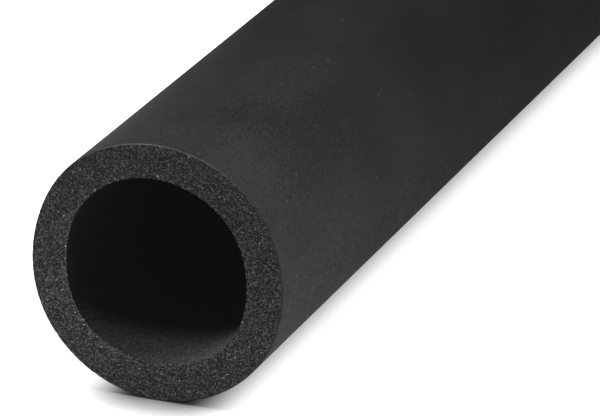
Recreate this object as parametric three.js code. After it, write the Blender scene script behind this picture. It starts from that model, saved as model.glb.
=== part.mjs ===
// Pipe insulation tube: one length of black closed-cell rubber foam, cut square at both ends
// and lying on a level floor. Millimetres, +Z up. The tube runs along Y, the end at -Y is the
// near end, and the origin is on the floor under the middle of the length.
import * as THREE from "three";

// Stock size
const LENGTH = 1000;
const PIPE_DIAMETER = 48.3; // outside diameter of the steel pipe that the tube is sold for
const SLIP_ALLOWANCE = 1.2; // how much wider the bore is than its pipe, so that it pushes on
const WALL = 9;

// Soft foam doesn't stay round. Each dent is a direction round the section in degrees, from +X
// towards +Z, the depth that the surface lies inside the true circle there, and its spread.
const OUTSIDE_DENTS = [
  { direction: 7, depth: 0.7, spread: 20 },
  { direction: 89, depth: 0.35, spread: 20 },
  { direction: 168, depth: 0.7, spread: 20 },
];
const BORE_DENTS = [
  { direction: 3, depth: 1.0, spread: 22 },
  { direction: 67, depth: 0.55, spread: 26 },
  { direction: 178, depth: 0.95, spread: 19 },
  { direction: 272, depth: 1.1, spread: 21 },
];

// The blade pinches the tube as it cuts, so the dents are deepest at the two ends.
const MIDDLE_SHARE = 0.45; // what is left of a dent half way along
const PINCH_REACH = 160; // how far in from a cut the section takes to relax

// Fineness of the mesh
const AROUND = 96;
const STEPS = 12;

const BORE_RADIUS = (PIPE_DIAMETER + SLIP_ALLOWANCE) / 2;
const OUTSIDE_RADIUS = BORE_RADIUS + WALL;
const MIDDLE_OF_WALL = BORE_RADIUS + WALL / 2;
const HALF_FACET = Math.PI / AROUND;
const AXIS_HEIGHT = OUTSIDE_RADIUS * Math.cos(HALF_FACET); // the lowest facet lies on the floor

const FOAM = new THREE.MeshStandardMaterial({
  color: 0x303030,
  roughness: 0.85,
  metalness: 0,
});

// How far inside the true circle a surface lies at an angle in radians, at full pinch.
function dentDepth(dents, angle) {
  const degrees = THREE.MathUtils.radToDeg(angle);
  return dents.reduce((sum, dent) => {
    const away = THREE.MathUtils.euclideanModulo(degrees - dent.direction + 180, 360) - 180;
    return sum + dent.depth * Math.exp(-0.5 * (away / dent.spread) ** 2);
  }, 0);
}

// The share of each dent at a distance along the tube from one of its ends.
function pinchShare(along) {
  const fromCut = Math.min(along, LENGTH - along);
  return MIDDLE_SHARE + (1 - MIDDLE_SHARE) * Math.exp(-((fromCut / PINCH_REACH) ** 2));
}

// A surface's closed outline where it is cut. The first corner lies half a facet past +X, which
// puts a facet, and not a corner, underneath.
function cutOutline(radius, dents) {
  return Array.from({ length: AROUND }, (_, i) => {
    const angle = (2 * i + 1) * HALF_FACET;
    const reach = radius - dentDepth(dents, angle);
    return new THREE.Vector2(reach * Math.cos(angle), reach * Math.sin(angle));
  });
}

// The wall's section, with the bore as its hole, carried straight along the whole length.
function extrudedTube() {
  const section = new THREE.Shape(cutOutline(OUTSIDE_RADIUS, OUTSIDE_DENTS));
  section.holes.push(new THREE.Path(cutOutline(BORE_RADIUS, BORE_DENTS)));
  return new THREE.ExtrudeGeometry(section, {
    depth: LENGTH,
    steps: STEPS,
    bevelEnabled: false,
  });
}

// Draws the rings of corners together near the cuts, where the section changes most, and lets
// each ring relax towards the true circle by its distance from the nearer cut.
function relax(tube) {
  const corners = tube.getAttribute("position");
  for (let i = 0; i < corners.count; i++) {
    const x = corners.getX(i);
    const y = corners.getY(i);
    const along = (LENGTH / 2) * (1 - Math.cos((Math.PI * corners.getZ(i)) / LENGTH));
    const angle = Math.atan2(y, x);
    const dents = Math.hypot(x, y) > MIDDLE_OF_WALL ? OUTSIDE_DENTS : BORE_DENTS;
    const regained = (1 - pinchShare(along)) * dentDepth(dents, angle);
    corners.setXYZ(i, x + regained * Math.cos(angle), y + regained * Math.sin(angle), along);
  }
  tube.computeVertexNormals();
  return tube;
}

const tube = new THREE.Mesh(relax(extrudedTube()), FOAM);
tube.name = "insulation_tube";
tube.rotation.x = Math.PI / 2;
tube.position.set(0, LENGTH / 2, AXIS_HEIGHT);

const group = new THREE.Group();
group.add(tube);

export default group;
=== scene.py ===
"""Looks of one length of black foam tube that lags a heating pipe.

The tube lies on a pale studio floor. One closed surface carries its smooth skin, the two cut
ends with their opened cells, and the skin of the bore. Metres, +Z up, in the frame of the CAD:
the tube runs along Y, its near end is at -Y and the floor is at nought.
"""

import logging
import math
from dataclasses import dataclass, field
from enum import Enum, IntEnum

import bpy
import numpy as np
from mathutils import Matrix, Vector


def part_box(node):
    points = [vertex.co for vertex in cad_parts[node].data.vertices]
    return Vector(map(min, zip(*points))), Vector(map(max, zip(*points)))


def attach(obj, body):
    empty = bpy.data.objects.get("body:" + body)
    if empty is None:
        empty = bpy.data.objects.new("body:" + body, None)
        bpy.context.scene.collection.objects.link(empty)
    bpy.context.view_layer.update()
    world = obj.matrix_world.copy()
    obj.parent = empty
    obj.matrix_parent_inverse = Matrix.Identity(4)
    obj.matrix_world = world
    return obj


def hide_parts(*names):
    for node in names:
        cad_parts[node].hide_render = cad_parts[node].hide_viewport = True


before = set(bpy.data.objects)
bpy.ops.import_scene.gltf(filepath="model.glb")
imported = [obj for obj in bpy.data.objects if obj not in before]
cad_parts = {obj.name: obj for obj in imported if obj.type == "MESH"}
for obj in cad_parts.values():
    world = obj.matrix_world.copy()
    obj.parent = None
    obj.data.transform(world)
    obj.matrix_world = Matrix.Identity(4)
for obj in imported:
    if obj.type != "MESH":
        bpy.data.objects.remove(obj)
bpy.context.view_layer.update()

TUBE_NODE = "insulation_tube"
MM = 0.001

Point = tuple[float, float, float]

log = logging.getLogger("foam_tube")


# Shader nodes


class Value:
    """A number from a node's output, on which the usual operators add Math nodes."""

    def __init__(self, shader: "Shader", socket: bpy.types.NodeSocket) -> None:
        """Keeps the output and the shader that its Math nodes go into."""
        self.shader = shader
        self.socket = socket

    def __add__(self, other: "Value | float") -> "Value":
        """This plus other."""
        return self.shader.math("ADD", self, other)

    def __radd__(self, other: float) -> "Value":
        """Other plus this."""
        return self.shader.math("ADD", other, self)

    def __sub__(self, other: "Value | float") -> "Value":
        """This less other."""
        return self.shader.math("SUBTRACT", self, other)

    def __rsub__(self, other: float) -> "Value":
        """Other less this."""
        return self.shader.math("SUBTRACT", other, self)

    def __mul__(self, other: "Value | float") -> "Value":
        """This times other."""
        return self.shader.math("MULTIPLY", self, other)

    def __rmul__(self, other: float) -> "Value":
        """Other times this."""
        return self.shader.math("MULTIPLY", other, self)

    def __pow__(self, other: "Value | float") -> "Value":
        """This raised to other."""
        return self.shader.math("POWER", self, other)


class Shader:
    """The nodes that are laid out in one material or world."""

    def __init__(self, owner: bpy.types.Material | bpy.types.World) -> None:
        """Empties the nodes of a material or world.

        Args:
            owner: the material or world.
        """
        self.owner = owner
        self.owner.use_nodes = True
        self.tree = self.owner.node_tree
        self.tree.nodes.clear()

    def node(self, kind: str, settings: dict | None = None, inputs: dict | None = None) -> bpy.types.Node:
        """Adds a node.

        Args:
            kind: the node's type.
            settings: its own settings, which are set first.
            inputs: by socket identifier, a number, a colour, an output or a Value.

        Returns:
            The new node.
        """
        made = self.tree.nodes.new(kind)
        for key, value in (settings or {}).items():
            setattr(made, key, value)
        sockets = {s.identifier: s for s in made.inputs}
        for key, value in (inputs or {}).items():
            if isinstance(value, Value):
                value = value.socket
            if isinstance(value, bpy.types.NodeSocket):
                self.tree.links.new(value, sockets[key])
            else:
                sockets[key].default_value = value
        return made

    def math(self, operation: str, first: "Value | float", second: "Value | float" = 0.0) -> Value:
        """Adds a Math node for one operation on two numbers, and returns its result."""
        made = self.node("ShaderNodeMath", {"operation": operation}, {"Value": first, "Value_001": second})
        return Value(self, made.outputs[0])

    def ramp(self, value: Value, low: float, high: float, start: float = 0.0, end: float = 1.0) -> Value:
        """Takes a number smoothly from start to end as it goes from low to high.

        Args:
            value: the number.
            low: where the rise begins.
            high: where it is over.
            start: the result up to low.
            end: the result from high on.

        Returns:
            The result.
        """
        made = self.node(
            "ShaderNodeMapRange",
            {"interpolation_type": "SMOOTHSTEP", "clamp": True},
            {"Value": value, "From Min": low, "From Max": high, "To Min": start, "To Max": end},
        )
        return Value(self, made.outputs["Result"])

    def falloff(self, distance: Value, reach: float, power: float) -> Value:
        """Falls from one: e to the minus (the distance in reaches, raised to a power)."""
        return self.math("EXPONENT", 0.0 - (distance * (1.0 / reach)) ** power)

    def nearness(self, vector: bpy.types.NodeSocket, middle: Point, reach: float) -> Value:
        """A round patch: one at its middle, falling off by a bell curve.

        Args:
            vector: where it is read.
            middle: the patch's middle, in the same terms.
            reach: how far it reaches.

        Returns:
            The patch's strength, from 0 to 1.
        """
        inputs = {"Vector": vector, "Vector_001": middle}
        made = self.node("ShaderNodeVectorMath", {"operation": "DISTANCE"}, inputs)
        return self.falloff(Value(self, made.outputs["Value"]), reach, 2.0)

    def attribute(self, name: str) -> Value:
        """The number that the mesh keeps under a name for each of its corners."""
        made = self.node("ShaderNodeAttribute", {"attribute_type": "GEOMETRY", "attribute_name": name})
        return Value(self, made.outputs["Fac"])

    def places(self, stretch: Point = (1.0, 1.0, 1.0)) -> bpy.types.NodeSocket:
        """The place on the piece in metres, with each axis multiplied by its stretch.

        Args:
            stretch: along X, Y and Z. A pattern comes out longer along an axis with less.

        Returns:
            A vector output.
        """
        coordinates = self.node("ShaderNodeTexCoord").outputs["Object"]
        inputs = {"Vector": coordinates, "Scale": stretch}
        made = self.node("ShaderNodeMapping", {"vector_type": "POINT"}, inputs)
        return made.outputs["Vector"]

    def height(self) -> Value:
        """The height over the floor in metres."""
        made = self.node("ShaderNodeSeparateXYZ", None, {"Vector": self.places()})
        return Value(self, made.outputs["Z"])

    def noise(
        self, vector: bpy.types.NodeSocket, grain: float, detail: float = 2.0, roughness: float = 0.5
    ) -> Value:
        """Cloudy noise, from about 0.25 to 0.75.

        Args:
            vector: where it is read.
            grain: the size of a cloud in metres.
            detail: how many finer layers it has.
            roughness: how strong each is beside the one before.

        Returns:
            The noise.
        """
        inputs = {"Vector": vector, "Scale": 1.0 / grain, "Detail": detail, "Roughness": roughness}
        return Value(self, self.node("ShaderNodeTexNoise", None, inputs).outputs["Fac"])

    def cells(self, vector: bpy.types.NodeSocket, size: float) -> tuple[Value, Value, Value]:
        """Foam cells, as a slice through random rounded boxes that fill the space.

        Args:
            vector: where they are read.
            size: of a cell in metres.

        Returns:
            The distance to the nearest wall in cells, and two random numbers from 0 to 1 that
            belong to the whole cell.
        """
        inputs = {"Vector": vector, "Scale": 1.0 / size}
        walls = self.node("ShaderNodeTexVoronoi", {"feature": "DISTANCE_TO_EDGE"}, inputs)
        whole = self.node("ShaderNodeTexVoronoi", {"feature": "F1"}, inputs)
        parts = self.node("ShaderNodeSeparateColor", {"mode": "RGB"}, {"Color": whole.outputs["Color"]})
        return (Value(self, walls.outputs["Distance"]), *(Value(self, parts.outputs[i]) for i in range(2)))

    def grey(self, level: Value) -> bpy.types.NodeSocket:
        """A neutral colour of a linear level."""
        levels = dict.fromkeys(("Red", "Green", "Blue"), level)
        return self.node("ShaderNodeCombineColor", {"mode": "RGB"}, levels).outputs["Color"]

    def bump(self, height: Value) -> bpy.types.NodeSocket:
        """Tilts the surface by a height in metres, and returns the normal."""
        inputs = {"Height": height, "Strength": 1.0, "Distance": 1.0}
        return self.node("ShaderNodeBump", None, inputs).outputs["Normal"]

    def finish(self, **inputs: object) -> bpy.types.Material:
        """Ends the material in a Principled shader.

        Args:
            inputs: its sockets, with underscores for spaces.

        Returns:
            The material.
        """
        named = {key.replace("_", " "): value for key, value in inputs.items()}
        shader = self.node("ShaderNodeBsdfPrincipled", None, named)
        self.node("ShaderNodeOutputMaterial", None, {"Surface": shader.outputs["BSDF"]})
        return self.owner


# Finishes


@dataclass(frozen=True)
class Patch:
    """A soft round patch on the skin, or a stripe along its whole length, paler or darker than the rest."""

    direction: float  # degrees from +X towards +Z
    reach: float
    change: float  # of the tone, as a share of it
    along: float | None = None  # from the near cut, and for a stripe nothing
    skin_radius: float = 33.6 * MM
    near_y: float = -500 * MM  # where the near cut is

    def strength(self, shader: Shader) -> Value:
        """Reads the patch: its change at its middle, falling off by a bell curve.

        Args:
            shader: what its nodes go into.

        Returns:
            What the patch adds to the tone, as a share of it.
        """
        angle = math.radians(self.direction)
        across, height = self.skin_radius * math.cos(angle), self.skin_radius * (1 + math.sin(angle))
        stripe = self.along is None
        places = shader.places((1.0, 0.0, 1.0)) if stripe else shader.places()
        y = 0.0 if stripe else self.near_y + self.along
        return self.change * shader.nearness(places, (across, y, height), self.reach)


@dataclass(frozen=True)
class Skin:
    """The smooth outside: satin black, softly clouded, with a fine grain partly drawn out along the tube.

    It is painted about three times as pale at the cuts as in the middle, painted light that falls off
    from each end, and the upper half of a cut's outer edge is painted pale, a painted highlight. Its
    stripes along the whole length are painted light and shade.
    """

    tone: float = 0.0079  # linear grey, in the middle of the tube
    painted_paling: float = 0.12  # painted light: how much paler it is right at a cut
    painted_paling_reach: float = 16 * MM
    painted_pool: float = 1.96  # painted light, the same for the slow change along the tube
    painted_pool_reach: float = 125 * MM
    painted_pool_power: float = 1.5  # a bell curve has 2, a plain decay 1
    # a painted highlight on the upper half of a cut's outer edge
    rim_highlight: float = 6.0
    edge_width: float = 0.25 * MM
    edge_heights: tuple[float, float] = (50 * MM, 66 * MM)  # over the floor: where the painted highlight starts and is full
    mottling: float = 0.11  # how much its soft clouds change the tone
    cloud: float = 22 * MM
    cloud_levels: tuple[float, float] = (0.38, 0.62)  # of the noise, for the darkest and palest clouds
    graininess: float = 1.4
    grain: float = 0.62 * MM
    grain_reach: float = 150 * MM  # from the cut, where the grain has thinned out
    grain_at_cut: float = 0.6  # the share of it that shows right at the cut
    grain_margin: float = 30 * MM  # from the cut, where all of it shows
    grain_height: float = 0.022 * MM
    streakiness: float = 0.8
    streak: float = 0.7 * MM
    streak_height: float = 0.02 * MM
    streak_heights: tuple[float, float] = (44 * MM, 24 * MM)  # over the floor: from none to all
    speck_square: float = 0.5 * MM  # one place for a pale speck
    speck_levels: tuple[float, float] = (0.9965, 0.9985)  # of its random number, from none to a full speck
    shine: float = 0.09
    roughness: float = 0.55  # at a cut
    dulling: float = 0.32  # how much rougher it is far from the cuts
    uneven_shine: float = 0.15  # how much the grain changes the roughness
    patches: tuple[Patch, ...] = (
        Patch(5, 22 * MM, 0.18, along=50 * MM),
        Patch(45, 14 * MM, 0.22, along=10 * MM),
        Patch(38, 12 * MM, 0.14, along=92 * MM),
        Patch(33, 11 * MM, -0.08, along=62 * MM),
        Patch(20, 45 * MM, -0.15, along=215 * MM),
        # The last three are stripes along the whole tube: painted shade at 45 and 128 degrees, painted light
        # at -25 degrees.
        Patch(45, 21 * MM, -0.20),
        Patch(-25, 22 * MM, 0.38),
        Patch(128, 14 * MM, -0.75),
    )

    def material(self) -> bpy.types.Material:
        """Lays out the skin's nodes: clouds, grain, streaks, pale specks, painted light, and a bump from the
        same grain.

        Returns:
            The material.
        """
        shader = Shader(bpy.data.materials.new("foam_skin"))
        from_cut = shader.attribute("from_cut")
        height = shader.height()
        clouds = shader.noise(shader.places((1.0, 0.6, 1.0)), self.cloud, detail=4.0)
        even = shader.noise(shader.places(), self.grain, detail=1.5, roughness=0.6)
        drawn = shader.noise(shader.places((1.0, 0.25, 1.0)), self.streak, detail=1.0)
        low_down = shader.ramp(height, *self.streak_heights)
        off_the_cut = shader.ramp(from_cut, 0.0, self.grain_margin, self.grain_at_cut, 1.0)
        grainy = shader.ramp(from_cut, self.grain_reach, 0.0) * off_the_cut
        grain = 2 * self.graininess * grainy * (even - 0.5)
        streaks = 2 * self.streakiness * low_down * (drawn - 0.5)
        # painted light right at a cut, and a painted pool of light that falls off slowly from each cut
        painted_light = self.painted_paling * shader.falloff(from_cut, self.painted_paling_reach, 2.0)
        near_cut = shader.falloff(from_cut, self.painted_pool_reach, self.painted_pool_power)
        # painted highlight on the upper half of a cut's outer edge
        at_edge = self.rim_highlight * shader.ramp(from_cut, self.edge_width, 0.0)
        painted_rim_highlight = at_edge * shader.ramp(height, *self.edge_heights)
        _, speck, size = shader.cells(shader.places((1.0, 0.7, 1.0)), self.speck_square)
        specks = shader.ramp(speck, *self.speck_levels) * (0.6 + size)
        smudges = 2 * self.mottling * (shader.ramp(clouds, *self.cloud_levels) - 0.5)
        # the stripes among the patches are painted light and shade
        clouds_and_painted_stripes = 1.0 + smudges + sum(patch.strength(shader) for patch in self.patches)
        # paler holds only painted light: near the cuts and on the upper rim
        paler = 1.0 + painted_light + self.painted_pool * near_cut + painted_rim_highlight
        level = self.tone * clouds_and_painted_stripes * (1.0 + grain + streaks) * paler * (1.0 + specks)
        return shader.finish(
            Base_Color=shader.grey(level),
            Roughness=self.roughness + self.dulling * (1.0 - near_cut) + self.uneven_shine * (even - 0.5),
            Specular_IOR_Level=self.shine,
            Normal=shader.bump(even * self.grain_height + low_down * drawn * self.streak_height),
        )


@dataclass(frozen=True)
class CutFoam:
    """The cut ends: closed cells that the blade has opened, a few of them with painted glints, with paler
    walls.
    """

    tone: float = 0.0362
    cell: float = 0.29 * MM
    darkest: float = 0.25  # the least and the most that a cell shows of the tone
    lightest: float = 2.6
    rarity: float = 2.5  # a power that leaves few cells pale
    wall: float = 0.10  # width of a wall, in cells
    wall_lift: float = 0.25
    slope: float = 2.5  # width of a pit's side, in walls
    pit: float = 0.14 * MM
    specks: float = 0.012  # the share of cells with a painted glint
    painted_glint: float = 1.9
    bore_band: float = 0.28  # how much paler the torn band along the bore is
    bore_band_depths: tuple[float, float] = (0.16, 0.02)  # in walls from the bore: from none to all
    painted_shading: float = 0.19  # painted light and shade: how much paler than its mean the lowest part is, and how much darker the top
    painted_shading_heights: tuple[float, float] = (62 * MM, 6 * MM)
    fine: float = 0.2 * MM
    fine_height: float = 0.05 * MM
    clump: float = 1.3 * MM
    shine: float = 0.10
    roughness: float = 0.7

    def material(self) -> bpy.types.Material:
        """Lays out the nodes: a tone for each cell, pale walls, painted glints, painted light, and a torn
        band at the bore.

        Returns:
            The material.
        """
        shader = Shader(bpy.data.materials.new("foam_cut"))
        place = shader.places()
        through = shader.attribute("through")
        wall_gap, own, chance = shader.cells(place, self.cell)
        fine = shader.noise(place, self.fine, detail=2.0, roughness=0.7)
        clumps = shader.noise(place, self.clump, detail=1.0)
        open_cell = shader.ramp(wall_gap, 0.0, self.slope * self.wall)
        shade = self.darkest + (self.lightest - self.darkest) * own**self.rarity
        walls = 1.0 + self.wall_lift * (1.0 - shader.ramp(wall_gap, 0.0, self.wall))
        # painted glints on a few cells
        painted_glints = 1.0 + self.painted_glint * shader.ramp(chance, 1.0 - self.specks, 1.0 - 0.5 * self.specks)
        band = 1.0 + self.bore_band * shader.ramp(through, *self.bore_band_depths) * (0.4 + 1.2 * clumps)
        # painted light and shade: the cut end paler low down and darker at the top
        painted_light = shader.ramp(shader.height(), *self.painted_shading_heights, 1.0 - self.painted_shading, 1.0 + self.painted_shading)
        level = self.tone * shade * walls * painted_glints * band * painted_light * (0.55 + 0.9 * fine)
        return shader.finish(
            Base_Color=shader.grey(level),
            Roughness=self.roughness,
            Specular_IOR_Level=self.shine,
            Normal=shader.bump(fine * self.fine_height - open_cell * self.pit),
        )


@dataclass(frozen=True)
class BoreSkin:
    """The bore, dull and dark with a fuzzy grain, painted paler along its floor where the light falls."""

    tone: float = 0.018
    painted_paling: float = 1.4  # painted light: how much paler its floor is than its walls
    painted_paling_heights: tuple[float, float] = (24 * MM, 9 * MM)  # over the floor: from none to all
    graininess: float = 2.2
    grain: float = 0.6 * MM
    grain_height: float = 0.14 * MM
    shine: float = 0.10
    roughness: float = 0.8

    def material(self) -> bpy.types.Material:
        """Lays out the bore's nodes: a fuzzy grain in tone and in height, and painted light on its floor.

        Returns:
            The material.
        """
        shader = Shader(bpy.data.materials.new("foam_bore"))
        drawn = shader.noise(shader.places((1.0, 0.35, 1.0)), self.grain, detail=2.0, roughness=0.6)
        even = shader.noise(shader.places(), 0.8 * self.grain, detail=1.0)
        # painted light, paler towards the bottom of the bore
        painted_paling = self.painted_paling * shader.ramp(shader.height(), *self.painted_paling_heights)
        level = self.tone * (1.0 + painted_paling) * (1.0 + 2 * self.graininess * (0.5 * drawn + 0.5 * even - 0.5))
        return shader.finish(
            Base_Color=shader.grey(level),
            Roughness=self.roughness,
            Specular_IOR_Level=self.shine,
            Normal=shader.bump((drawn + even) * self.grain_height),
        )


# The tube


@dataclass(frozen=True)
class Dent:
    """A place round the section where the soft foam has given, in degrees from +X towards +Z and metres."""

    direction: float
    depth: float
    spread: float


def dent_depth(dents: tuple[Dent, ...], angle: np.ndarray) -> np.ndarray:
    """How far inside the true circle a surface lies at full pinch: a bell curve for each dent.

    Args:
        dents: the surface's dents.
        angle: directions in radians.

    Returns:
        Depths in metres.
    """
    degrees = np.degrees(angle)
    depth = np.zeros_like(degrees)
    for dent in dents:
        away = (degrees - dent.direction + 180) % 360 - 180
        depth = depth + dent.depth * np.exp(-0.5 * (away / dent.spread) ** 2)
    return depth


def ragged(angle: np.ndarray, waves: tuple[int, ...], height: float, seed: int) -> np.ndarray:
    """An uneven edge round the tube: a sum of cosines of the angle, each with its own random phase.

    Args:
        angle: directions in radians.
        waves: how many times each cosine rises and falls in one turn.
        height: the usual distance of the edge from its mean, in metres.
        seed: of the phases.

    Returns:
        Offsets in metres, up and down.
    """
    phases = np.random.default_rng(seed).uniform(0, 2 * math.pi, len(waves))
    return height * np.cos(np.outer(angle, waves) + phases).sum(1) * math.sqrt(2 / len(waves))


@dataclass(frozen=True)
class Cells:
    """Foam cells sliced by a flat cut. Each square of a lattice holds the middle of one, anywhere in it."""

    size: float
    seed: int

    def read(self, across: np.ndarray, up: np.ndarray) -> tuple[np.ndarray, np.ndarray]:
        """Reads the cells at places on the cut.

        The pit is nought on the wall between two cells, where the nearest middle is as near as
        the next one, and grows to one with the gap between those two distances.

        Args:
            across: places along X, in metres.
            up: places along Z, in metres from the tube's axis.

        Returns:
            The pit, and a random number from 0 to 1 that belongs to the whole cell.
        """
        full_gap = 0.6  # of a cell, at which the pit is at its deepest
        squares = 2 * int(np.ceil(max(np.abs(across).max(), np.abs(up).max()) / self.size)) + 6
        random = np.random.default_rng(self.seed)
        middles = random.uniform(0.05, 0.95, (squares, squares, 2))
        depths = random.uniform(0.0, 1.0, (squares, squares))
        place = np.stack([across, up], -1) / self.size + squares / 2
        steps = np.array([(i, j) for i in (-1, 0, 1) for j in (-1, 0, 1)])
        near = np.floor(place).astype(int)[..., None, :] + steps
        gaps = np.linalg.norm(near + middles[near[..., 0], near[..., 1]] - place[..., None, :], axis=-1)
        order = np.argsort(gaps, axis=-1)[..., :2]
        nearest = np.take_along_axis(gaps, order, -1)
        depth = np.take_along_axis(depths[near[..., 0], near[..., 1]], order[..., :1], -1)[..., 0]
        return np.clip((nearest[..., 1] - nearest[..., 0]) / full_gap, 0, 1), depth


class Surface(IntEnum):
    """The tube's surfaces, in the order in which its profile passes them."""

    SKIN = 0
    NEAR_CUT = 1
    BORE = 2
    FAR_CUT = 3


@dataclass(frozen=True)
class Strip:
    """Where a surface lies on the bake map: its strip's foot and height, and the rows it is cut into."""

    foot: float
    height: float
    cuts: int = 1

    def place(self, through: np.ndarray, around: np.ndarray) -> np.ndarray:
        """Lays a face's corners on the map.

        A skin runs along the map with its turn upwards. A cut end runs round along the map, in as
        many rows as it is cut into, with its wall upwards.

        Args:
            through: how far each corner is through the surface's profile, from 0 to 1.
            around: how far round the turn it is, from 0 to 1.

        Returns:
            Map places, the last axis being across and up.
        """
        if self.cuts == 1:
            return np.stack([through, self.foot + self.height * around], -1)
        used = 0.96  # of a row's height, which keeps the rows apart
        row = np.floor(around.min(-1, keepdims=True) * self.cuts + 1e-6)
        row_height = self.height / self.cuts
        return np.stack([around * self.cuts - row, self.foot + row_height * (row + used * through)], -1)


@dataclass(frozen=True)
class Rows:
    """Rings of the profile that have the same number of corners.

    Each array has a number for each ring: its distance from the near cut, how far through the
    wall it is, from 0 in the bore to 1 on the skin, how far it lies outside that, how far the
    cells are open there, how ragged it is, and the surface that runs from it to the next ring.
    """

    columns: int
    along: np.ndarray
    through: np.ndarray
    offset: np.ndarray
    opened: np.ndarray
    torn: np.ndarray
    surface: np.ndarray

    def reversed(self, along: np.ndarray, surface: np.ndarray) -> "Rows":
        """The same rings the other way round, at new distances along the tube and with new surfaces."""
        parts = [part[::-1] for part in (self.through, self.offset, self.opened, self.torn)]
        return Rows(self.columns, along, *parts, surface)


@dataclass(frozen=True)
class Corners:
    """The corners of all the rings, each array one ring after another.

    They hold the places, how far through the wall each corner is, its distance from the nearer
    cut, and for each ring its first corner, how many it has, its surface, and the length of the
    profile from it to the next ring.
    """

    places: np.ndarray
    through: np.ndarray
    from_cut: np.ndarray
    starts: np.ndarray
    counts: np.ndarray
    surface: np.ndarray
    steps: np.ndarray


@dataclass
class FoamTube:
    """One length of foam tube, cut square at both ends."""

    near_y: float
    length: float
    pipe_diameter: float = 48.3 * MM
    slip_allowance: float = 1.2 * MM
    wall: float = 9 * MM
    outside_dents: tuple[Dent, ...] = (
        Dent(7, 0.7 * MM, 20),
        Dent(89, 0.35 * MM, 20),
        Dent(168, 0.7 * MM, 20),
    )
    bore_dents: tuple[Dent, ...] = (
        Dent(3, 1.0 * MM, 22),
        Dent(67, 0.55 * MM, 26),
        Dent(178, 0.95 * MM, 19),
        Dent(272, 1.1 * MM, 21),
    )
    middle_share: float = 0.45  # what is left of a dent half way along
    pinch_reach: float = 160 * MM  # how far in from a cut the section takes to relax
    frame_facets: int = 96  # round the frame's section
    skin_round: float = 0.30 * MM  # radius of a cut's outer edge
    bore_round: float = 0.12 * MM
    rim_rings: int = 4  # in a rounded edge
    skin_tear: float = 0.04 * MM  # how ragged a cut's outer edge is
    bore_tear: float = 0.10 * MM
    cell_size: float = 0.50 * MM
    cell_depth: float = 0.20 * MM  # of the deepest pits
    shallowest: float = 0.25  # the least depth of a cell's pit, as a share of that
    side_columns: int = 240
    end_columns: int = 720  # three for each of the sides'
    skin_rows: int = 78
    bore_rows: int = 34
    cut_rows: int = 34
    skin: Skin = field(default_factory=Skin)
    cut: CutFoam = field(default_factory=CutFoam)
    bore: BoreSkin = field(default_factory=BoreSkin)

    @property
    def bore_radius(self) -> float:
        """Half the bore before it is dented."""
        return (self.pipe_diameter + self.slip_allowance) / 2

    @property
    def outside_radius(self) -> float:
        """From the axis to the middle of a facet of the frame's section, one of which lies on the floor."""
        return (self.bore_radius + self.wall) * math.cos(math.pi / self.frame_facets)

    def pinch_share(self, along: np.ndarray) -> np.ndarray:
        """The share of each dent that is left: all at a cut, and by a bell curve less in the middle.

        Args:
            along: distances from the near cut.

        Returns:
            Shares from 0 to 1.
        """
        from_cut = np.minimum(along, self.length - along)
        return self.middle_share + (1 - self.middle_share) * np.exp(-((from_cut / self.pinch_reach) ** 2))

    def side_rows(self, count: int, margin: float, surface: Surface, through: float) -> Rows:
        """Rings of a skin between the two ends, drawn together near them by a cosine.

        Args:
            count: how many rings.
            margin: what is left to the end rows at each cut.
            surface: which skin.
            through: where in the wall it lies.

        Returns:
            The rings, from the near cut to the far one.
        """
        evenness = 0.18  # the share of the spacing that isn't drawn together
        t = np.linspace(0, 1, count)
        graded = (1 - evenness) * (1 - np.cos(math.pi * t)) / 2 + evenness * t
        none = np.zeros(count)
        along = margin + (self.length - 2 * margin) * graded
        return Rows(self.side_columns, along, none + through, none, none, none, np.full(count, surface))

    def end_rows(self) -> Rows:
        """Rings over the near end: the last of the skin, its rim, the cut, the bore's rim and its first.

        A rim is rounded by a quarter of a circle. The cut's rings are evenly spaced between the rims.

        Returns:
            The rings, from the skin to the bore.
        """
        turn = np.linspace(0, math.pi / 2, self.rim_rings)
        bore_turn = turn[::-1]
        skin_in = np.array([1.0, 0.55]) * MM
        bore_in = np.array([0.5, 1.0]) * MM
        wall = np.linspace(1, 0, self.cut_rows + 2)[1:-1]
        none, rim, flat = np.zeros(2), np.zeros(self.rim_rings), np.zeros(self.cut_rows)
        skin_rim = self.skin_round * (1 - np.sin(turn))
        bore_rim = self.bore_round * (1 - np.sin(bore_turn))
        skin_in_by = self.skin_round * (1 - np.cos(turn))
        bore_out_by = self.bore_round * (1 - np.cos(bore_turn))
        near_a_rim = wall**8 + (1 - wall) ** 8
        along = [skin_in, skin_rim, flat, bore_rim, bore_in]
        through = [none + 1, rim + 1, wall, rim, none]
        offset = [none, -skin_in_by, self.bore_round * (1 - wall) - self.skin_round * wall, bore_out_by, none]
        opened = [none, rim, flat + 1, rim, none]
        torn = [none, rim + 1, near_a_rim, rim + 1, none]
        on_skin, on_cut = len(skin_in) + self.rim_rings - 1, self.cut_rows + 1
        in_bore = self.rim_rings + len(bore_in)
        surface = [Surface.SKIN] * on_skin + [Surface.NEAR_CUT] * on_cut + [Surface.BORE] * in_bore
        joined = [np.concatenate(part) for part in (along, through, offset, opened, torn)]
        return Rows(self.end_columns, *joined, np.array(surface))

    def bands(self) -> list[Rows]:
        """All the rings, once round the profile: along the skin, in at the near end, along the bore, out.

        Returns:
            The bands of rings, each with one number of corners.
        """
        margin = 2 * MM  # of each side that the ends' own rings cover
        near = self.end_rows()
        bore = self.side_rows(self.bore_rows, margin, Surface.BORE, 0.0)
        skin = self.side_rows(self.skin_rows, margin, Surface.SKIN, 1.0)
        before = np.concatenate([[Surface.SKIN], near.surface[:-1]])[::-1]
        far_surface = np.where(before == Surface.NEAR_CUT, Surface.FAR_CUT, before)
        far = near.reversed(self.length - near.along[::-1], far_surface)
        return [skin.reversed(skin.along[::-1], skin.surface), near, bore, far]

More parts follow.
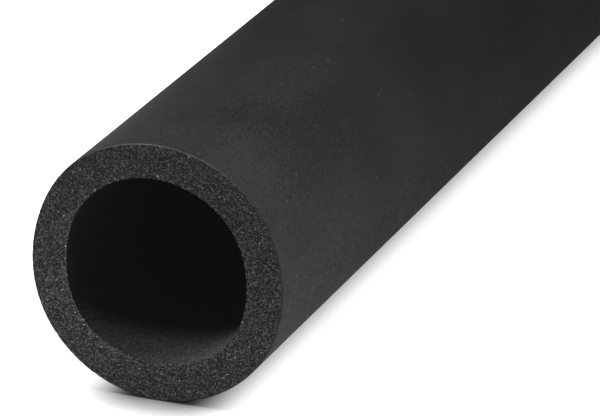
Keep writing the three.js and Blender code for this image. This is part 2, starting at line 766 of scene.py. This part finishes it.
    def ring_places(self, rows: Rows, seed: int) -> np.ndarray:
        """Works out the corners of a band of rings.

        A corner's distance from the axis goes straight from the bore's to the skin's as it passes
        through the wall, and its height over the floor and place across follow from its direction.
        An opened cell draws the cut's surface into the foam.

        Args:
            rows: the rings.
            seed: of the cells and the torn edges.

        Returns:
            Places, with an axis for rings, one for columns and one for x, y and z.
        """
        angle = np.arange(rows.columns) * 2 * math.pi / rows.columns
        along, through = rows.along[:, None], rows.through[:, None]
        share = self.pinch_share(along)
        inside = self.bore_radius - share * dent_depth(self.bore_dents, angle)
        outside = self.outside_radius - share * dent_depth(self.outside_dents, angle)
        skin_tear = -np.abs(ragged(angle, (23, 41, 67, 97, 131), self.skin_tear, seed))
        bore_tear = ragged(angle, (61, 89, 127, 173, 199, 263), self.bore_tear, seed + 1)
        tear = rows.torn[:, None] * np.where(through > 0.5, skin_tear, bore_tear)
        reach = inside + (outside - inside) * through + rows.offset[:, None] + tear
        across, up = reach * np.cos(angle), reach * np.sin(angle)
        pit, depth = Cells(self.cell_size, seed + 2).read(across, up)
        own_depth = self.shallowest + (1 - self.shallowest) * depth
        into = rows.opened[:, None] * self.cell_depth * own_depth * pit
        y = self.near_y + along + np.where(along < self.length / 2, into, -into)
        return np.stack([across, y, self.outside_radius + up], -1)

    def corners(self) -> Corners:
        """Works out all the rings of the profile.

        Returns:
            The corners. A ring's step is the distance from its mean place to the next one's.
        """
        bands = self.bands()
        made = [self.ring_places(rows, seed) for rows, seed in zip(bands, (11, 23, 37, 53), strict=True)]
        counts = np.concatenate([np.full(len(rows.along), rows.columns) for rows in bands])
        along = np.concatenate([rows.along for rows in bands])
        reach = [np.hypot(part[..., 0], part[..., 2] - self.outside_radius).mean(1) for part in made]
        profile = np.stack([along, np.concatenate(reach)], -1)
        return Corners(
            places=np.concatenate([part.reshape(-1, 3) for part in made]),
            through=np.repeat(np.concatenate([rows.through for rows in bands]), counts),
            from_cut=np.repeat(np.minimum(along, self.length - along), counts),
            starts=np.concatenate([[0], np.cumsum(counts)[:-1]]),
            counts=counts,
            surface=np.concatenate([rows.surface for rows in bands]),
            steps=np.linalg.norm(np.roll(profile, -1, 0) - profile, axis=1),
        )

    def joined(self, first: tuple[int, int], second: tuple[int, int]) -> list[tuple[np.ndarray, ...]]:
        """Faces between two rings, which have as many corners or one three times as many as the other.

        Args:
            first: the number of the first ring's first corner, and how many it has.
            second: the same for the second ring.

        Returns:
            For each kind of face, its corners' numbers, how far round each corner is, and whether
            it is on the second ring.
        """
        (a, a_count), (b, b_count) = first, second
        count = min(a_count, b_count)
        i = np.arange(count)
        pattern = {
            (1, 1): ["a0 a1 b1 b0"],
            (1, 3): ["a0 b1 b0", "a0 a1 b2 b1", "a1 b3 b2"],
            (3, 1): ["a0 a1 b0", "a1 a2 b1 b0", "a2 a3 b1"],
        }[(a_count // count, b_count // count)]
        made = []
        for face in pattern:
            numbers, around, on_second = [], [], []
            for corner in face.split():
                start, total = (a, a_count) if corner[0] == "a" else (b, b_count)
                column = i * (total // count) + int(corner[1])
                numbers.append(start + column % total)
                around.append(column / total)
                on_second.append(np.full(count, corner[0] == "b"))
            made.append((np.stack(numbers, -1), np.stack(around, -1), np.stack(on_second, -1)))
        return made

    def faces(self, corners: Corners) -> tuple[list[list[int]], np.ndarray, np.ndarray]:
        """Joins each ring to the next, surface by surface.

        On the bake map a face is placed by how far the profile has come through its surface.

        Args:
            corners: the rings.

        Returns:
            The faces, their corners' places on the bake map, and their materials' slots.
        """
        strips = {
            Surface.SKIN: Strip(0.002, 0.346),
            Surface.BORE: Strip(0.354, 0.232),
            Surface.NEAR_CUT: Strip(0.592, 0.2, 2),
            Surface.FAR_CUT: Strip(0.796, 0.2, 2),
        }
        slot_of = {Surface.SKIN: 0, Surface.NEAR_CUT: 1, Surface.BORE: 2, Surface.FAR_CUT: 1}
        rings = list(zip(corners.starts.tolist(), corners.counts.tolist(), strict=True))
        faces, map_places, slots = [], [], []
        for kind in Surface:
            own = np.flatnonzero(corners.surface == kind)
            # The skin's rings run over the end of the list, so they start behind the gap in them.
            own = np.roll(own, -int(np.argmax(np.diff(own, prepend=own[0]) > 1)))
            reached = np.concatenate([[0], np.cumsum(corners.steps[own])])
            for k, start, end in zip(own, reached[:-1] / reached[-1], reached[1:] / reached[-1], strict=True):
                for numbers, around, on_second in self.joined(rings[k], rings[(k + 1) % len(rings)]):
                    faces += numbers.tolist()
                    through = np.where(on_second, end, start)
                    map_places.append(strips[kind].place(through, around).reshape(-1, 2))
                    slots.append(np.full(len(numbers), slot_of[kind]))
        return faces, np.concatenate(map_places), np.concatenate(slots)

    def mesh(self) -> bpy.types.Mesh:
        """Puts the one closed surface into a mesh.

        Returns:
            The mesh, with its faces' materials, its corners' through and from_cut, and its bake map.
        """
        corners = self.corners()
        faces, map_places, slots = self.faces(corners)
        mesh = bpy.data.meshes.new("foam_tube")
        mesh.from_pydata(corners.places, [], faces)
        mesh.polygons.foreach_set("material_index", slots.astype(np.int32))
        mesh.polygons.foreach_set("use_smooth", np.ones(len(faces), bool))
        mesh.uv_layers.new(name="OFBake").data.foreach_set("uv", map_places.astype(np.float32).ravel())
        for name, values in (("through", corners.through), ("from_cut", corners.from_cut)):
            mesh.attributes.new(name, "FLOAT", "POINT").data.foreach_set("value", values.astype(np.float32))
        mesh.validate()
        return mesh

    def build(self) -> bpy.types.Object:
        """Makes the tube, dresses it, hangs it under the root and hides the CAD part that it replaces.

        Returns:
            The tube.
        """
        piece = bpy.data.objects.new("foam_tube", self.mesh())
        bpy.context.scene.collection.objects.link(piece)
        for finish in (self.skin, self.cut, self.bore):
            piece.data.materials.append(finish.material())
        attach(piece, "root")
        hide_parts(TUBE_NODE)
        return piece


# The studio


class Lit(Enum):
    """What a light falls on. It is kept off the rest."""

    TUBE = "tube"
    FLOOR = "floor"


@dataclass(frozen=True)
class Lamp:
    """A soft light. Its direction is turned from the near end towards +X and then upwards, in degrees."""

    name: str
    turn: float
    rise: float
    power: float  # watts, and for a wide light watts per square metre
    lit: Lit

    def towards(self) -> Vector:
        """The direction from the tube to the light."""
        turn, rise = math.radians(self.turn), math.radians(self.rise)
        return Vector((math.sin(turn) * math.cos(rise), -math.cos(turn) * math.cos(rise), math.sin(rise)))

    def hang(self, data: bpy.types.Light, place: Vector, things: dict[Lit, bpy.types.Collection]) -> None:
        """Puts up the light, facing the tube and out of the camera's sight.

        Args:
            data: what it gives.
            place: where it hangs.
            things: what a light can be kept to.
        """
        data.energy = self.power
        lamp = bpy.data.objects.new(self.name, data)
        lamp.location = place
        lamp.rotation_euler = self.towards().to_track_quat("Z", "Y").to_euler()
        lamp.visible_camera = False
        lamp.light_linking.receiver_collection = things[self.lit]
        bpy.context.scene.collection.objects.link(lamp)


@dataclass(frozen=True)
class WideLight(Lamp):
    """A big screen far away, whose light falls evenly."""

    spread: float = 40.0  # degrees of the sky that it covers

    def build(self, things: dict[Lit, bpy.types.Collection]) -> None:
        """Hangs the light.

        Args:
            things: what a light can be kept to.
        """
        data = bpy.data.lights.new(self.name, "SUN")
        data.angle = math.radians(self.spread)
        self.hang(data, self.towards(), things)


@dataclass(frozen=True)
class Softbox(Lamp):
    """A square softbox close to the near end."""

    distance: float = 0.6
    side: float = 0.3
    aim: Point = (0.0, -0.45, 0.03)

    def build(self, things: dict[Lit, bpy.types.Collection]) -> None:
        """Hangs the light.

        Args:
            things: what a light can be kept to.
        """
        data = bpy.data.lights.new(self.name, "AREA")
        data.shape = "SQUARE"
        data.size = self.side
        self.hang(data, Vector(self.aim) + self.distance * self.towards(), things)


@dataclass
class Studio:
    """A pale floor, soft lights, and the camera where the photographer stood."""

    picture_width: int = 600  # pixels
    focal_pixels: float = 4931.0
    sensor_width: float = 36.0  # mm
    camera_place: Point = (0.4424, -1.5205, 0.4846)
    camera_azimuth: float = 21.634
    camera_elevation: float = 21.319
    floor_radius: float = 30.0
    floor_tone: float = 0.95
    room_light: float = 0.2
    contrast: float = 0.7  # of the print: the mid tones come out darker, white stays white
    black: float = 0.015  # the linear grey that the print's black comes out as
    lights: tuple[Lamp, ...] = (
        WideLight("key_screen", -39.0, 63.0, 4.0, Lit.TUBE, spread=16.0),
        WideLight("left_back_screen", -120.0, 35.0, 1.2, Lit.TUBE),
        WideLight("right_back_screen", 120.0, 50.0, 0.6, Lit.TUBE),
        WideLight("back_screen", 180.0, 60.0, 0.6, Lit.TUBE),
        Softbox("right_softbox", 100.0, 42.0, 5.2, Lit.TUBE, side=0.5),
        Softbox("back_softbox", 150.0, 50.0, 0.8, Lit.TUBE),
        Softbox("left_softbox", -60.0, 7.0, 3.0, Lit.TUBE, distance=0.35, side=0.14),
        WideLight("right_floor_screen", 112.0, 42.0, 4.6, Lit.FLOOR),
        WideLight("left_floor_screen", -105.0, 42.0, 4.5, Lit.FLOOR),
    )

    def camera(self) -> None:
        """Sets up the camera, whose long lens flattens the tube's perspective."""
        data = bpy.data.cameras.new("camera")
        data.sensor_width = self.sensor_width
        data.lens = self.focal_pixels * self.sensor_width / self.picture_width
        made = bpy.data.objects.new("camera", data)
        made.location = self.camera_place
        tilt, turn = math.radians(90 - self.camera_elevation), math.radians(self.camera_azimuth)
        made.rotation_euler = (tilt, 0.0, turn)
        bpy.context.scene.collection.objects.link(made)
        bpy.context.scene.camera = made

    def floor(self) -> bpy.types.Object:
        """Lays a round floor at nought, a fan of triangles from its middle.

        Returns:
            The floor.
        """
        corners = 96
        i = np.arange(corners)
        turn = i * 2 * math.pi / corners
        rim = self.floor_radius * np.stack([np.cos(turn), np.sin(turn), 0 * turn], -1)
        fan = np.stack([0 * i, i + 1, (i + 1) % corners + 1], -1)
        mesh = bpy.data.meshes.new("floor")
        mesh.from_pydata(np.concatenate([np.zeros((1, 3)), rim]), [], fan.tolist())
        paint = (self.floor_tone, self.floor_tone, self.floor_tone, 1.0)
        shader = Shader(bpy.data.materials.new("floor_paint"))
        mesh.materials.append(shader.finish(Base_Color=paint, Roughness=0.9, Specular_IOR_Level=0.1))
        made = bpy.data.objects.new("floor", mesh)
        bpy.context.scene.collection.objects.link(made)
        return made

    def room(self) -> None:
        """Lights the room evenly and a little, and stands a white wall round it."""
        shader = Shader(bpy.data.worlds.new("room"))
        white = (1.0, 1.0, 1.0, 1.0)
        air = shader.node("ShaderNodeBackground", None, {"Color": white, "Strength": self.room_light})
        walls = shader.node("ShaderNodeBackground", None, {"Color": white, "Strength": 1.0})
        seen = shader.node("ShaderNodeLightPath").outputs["Is Camera Ray"]
        inputs = {"Fac": seen, "Shader": air.outputs["Background"], "Shader_001": walls.outputs["Background"]}
        mix = shader.node("ShaderNodeMixShader", None, inputs)
        shader.node("ShaderNodeOutputWorld", None, {"Surface": mix.outputs["Shader"]})
        bpy.context.scene.world = shader.owner

    def develop(self) -> None:
        """Sets the print's contrast, and lifts its black to a grey."""
        look = bpy.context.scene.view_settings
        look.view_transform = "Standard"
        look.gamma = self.contrast
        look.use_curve_mapping = True
        all_colours = look.curve_mapping.curves[3]
        all_colours.points[0].location = (0.0, self.black)
        look.curve_mapping.update()

    def build(self, tube: bpy.types.Object) -> None:
        """Puts up the camera, the floor, the room and the lights round the tube.

        Args:
            tube: what the tube's own lights are kept to.
        """
        self.camera()
        self.room()
        self.develop()
        things = {}
        for lit, thing in ((Lit.TUBE, tube), (Lit.FLOOR, self.floor())):
            things[lit] = bpy.data.collections.new(f"lit_{lit.value}")
            things[lit].objects.link(thing)
        for light in self.lights:
            light.build(things)


def main() -> None:
    """Builds the studio and the tube."""
    logging.basicConfig(level=logging.INFO, format="%(message)s")
    low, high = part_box(TUBE_NODE)
    tube = FoamTube(near_y=low[1], length=high[1] - low[1]).build()
    log.info("%s: %d faces", tube.name, len(tube.data.polygons))
    Studio().build(tube)
    log.info("studio: floor, lights and camera")


if __name__ == "__main__":
    main()
